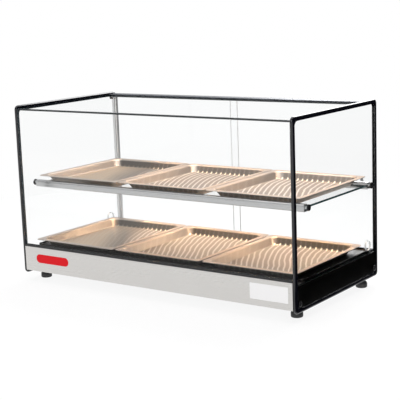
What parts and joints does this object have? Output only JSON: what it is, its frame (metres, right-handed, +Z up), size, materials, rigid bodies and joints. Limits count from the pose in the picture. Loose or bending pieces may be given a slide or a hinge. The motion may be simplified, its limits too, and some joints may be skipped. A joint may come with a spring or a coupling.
{
  "type": "food holding cabinet",
  "caption": "Countertop glass food holding cabinet with a heated stainless base, a glass mid shelf, lift-out steel trays and rear sliding glass doors.",
  "frame": {"origin": "on the counter, under the middle of the cabinet's bounding box", "axes": "+X along the cabinet to the right as the customer sees it, +Y from the customer's side to the operator's side with the sliding doors, +Z up"},
  "size_m": [0.8428, 0.408, 0.4665],
  "materials": {
    "gloss_black_frame": "glossy black",
    "black_side_panel": "gloss black paint",
    "brushed_stainless": "brushed",
    "tray_stainless": "bright brushed",
    "deck_stainless": "satin",
    "galvanised_sheet": "galvanised",
    "shelf_aluminium": "satin anodised",
    "conduit_aluminium": "satin anodised",
    "dark_anodised_aluminium": "dark anodised",
    "pane_glass": "clear polished",
    "shelf_glass": "clear polished",
    "black_rubber": "matte",
    "black_plastic": "fine satin",
    "black_gloss_hardware": "glossy black",
    "clear_plastic": "clear",
    "green_rocker": "glossy green",
    "white_plastic": "satin",
    "led_board": "white board",
    "heater_sheath": "dull oxidised",
    "wire_jacket": "matte"
  },
  "bodies": {
    "cabinet": {"left_end_frame": "gloss_black_frame", "left_end_glass": "pane_glass", "left_base_side": "black_side_panel", "left_front_side_screw": "black_gloss_hardware", "left_front_foot": "black_rubber", "shelf_front_left_knob": "black_gloss_hardware", "left_rear_side_screw": "black_gloss_hardware", "left_rear_foot": "black_rubber", "shelf_rear_left_knob": "black_gloss_hardware", "left_vent_grommet": "clear_plastic", "left_heater_bracket": "galvanised_sheet", "right_end_frame": "gloss_black_frame", "right_end_glass": "pane_glass", "right_base_side": "black_side_panel", "right_front_side_screw": "black_gloss_hardware", "right_front_foot": "black_rubber", "shelf_front_right_knob": "black_gloss_hardware", "right_rear_side_screw": "black_gloss_hardware", "right_rear_foot": "black_rubber", "shelf_rear_right_knob": "black_gloss_hardware", "right_vent_grommet": "clear_plastic", "right_heater_bracket": "galvanised_sheet", "front_base_panel": "brushed_stainless", "rear_base_panel": "brushed_stainless", "bottom_cover": "galvanised_sheet", "deck_pan": "deck_stainless", "heating_element": "heater_sheath", "thermostat_body": "black_plastic", "thermostat_sensor_bulb": "heater_sheath", "power_switch_housing": "black_plastic", "light_switch_housing": "black_plastic", "cord_gland": "black_plastic", "led_driver": "white_plastic", "terminal_block": "white_plastic", "wiring_loom": "wire_jacket", "front_glass": "pane_glass", "front_glass_gasket": "black_rubber", "top_glass": "pane_glass", "rear_top_rail": "dark_anodised_aluminium", "rear_bottom_track": "dark_anodised_aluminium", "wire_conduit": "conduit_aluminium", "led_cable_clip": "black_plastic", "shelf_front_rail": "shelf_aluminium", "shelf_rear_rail": "shelf_aluminium", "shelf_glass": "shelf_glass", "top_led_strip": "led_board", "shelf_led_strip": "led_board"},
    "left_door": {"left_sliding_door": "pane_glass", "left_door_pull": "shelf_aluminium"},
    "right_door": {"right_sliding_door": "pane_glass", "right_door_pull": "shelf_aluminium"},
    "thermostat_knob": {"thermostat_knob": "black_plastic"},
    "power_rocker": {"power_switch_rocker": "green_rocker"},
    "light_rocker": {"light_switch_rocker": "black_gloss_hardware"},
    "upper_left_tray": {"upper_left_tray": "tray_stainless"},
    "upper_middle_tray": {"upper_middle_tray": "tray_stainless"},
    "upper_right_tray": {"upper_right_tray": "tray_stainless"},
    "lower_left_tray": {"lower_left_tray": "tray_stainless"},
    "lower_middle_tray": {"lower_middle_tray": "tray_stainless"},
    "lower_right_tray": {"lower_right_tray": "tray_stainless"}
  },
  "joints": [
    {"name": "left_door_slide", "type": "slide", "parent": "cabinet", "child": "left_door", "axis": [1, 0, 0], "range_m": [0, 0.39]},
    {"name": "right_door_slide", "type": "slide", "parent": "cabinet", "child": "right_door", "axis": [-1, 0, 0], "range_m": [0, 0.39]},
    {"name": "thermostat_knob_turn", "type": "hinge", "parent": "cabinet", "child": "thermostat_knob", "pos_m": [0.3, 0.2, 0.052], "axis": [0, -1, 0], "range_deg": [0, 270]},
    {"name": "power_rocker_tip", "type": "hinge", "parent": "cabinet", "child": "power_rocker", "pos_m": [0.225, 0.1878, 0.052], "axis": [1, 0, 0], "range_deg": [0, 16]},
    {"name": "light_rocker_tip", "type": "hinge", "parent": "cabinet", "child": "light_rocker", "pos_m": [0.17, 0.1878, 0.052], "axis": [1, 0, 0], "range_deg": [0, 16]},
    {"name": "upper_left_tray_lift", "type": "slide", "parent": "cabinet", "child": "upper_left_tray", "axis": [0, 0, 1], "range_m": [0, 0.1]},
    {"name": "upper_middle_tray_lift", "type": "slide", "parent": "cabinet", "child": "upper_middle_tray", "axis": [0, 0, 1], "range_m": [0, 0.1]},
    {"name": "upper_right_tray_lift", "type": "slide", "parent": "cabinet", "child": "upper_right_tray", "axis": [0, 0, 1], "range_m": [0, 0.1]},
    {"name": "lower_left_tray_lift", "type": "slide", "parent": "cabinet", "child": "lower_left_tray", "axis": [0, 0, 1], "range_m": [0, 0.1]},
    {"name": "lower_middle_tray_lift", "type": "slide", "parent": "cabinet", "child": "lower_middle_tray", "axis": [0, 0, 1], "range_m": [0, 0.1]},
    {"name": "lower_right_tray_lift", "type": "slide", "parent": "cabinet", "child": "lower_right_tray", "axis": [0, 0, 1], "range_m": [0, 0.1]}
  ]
}
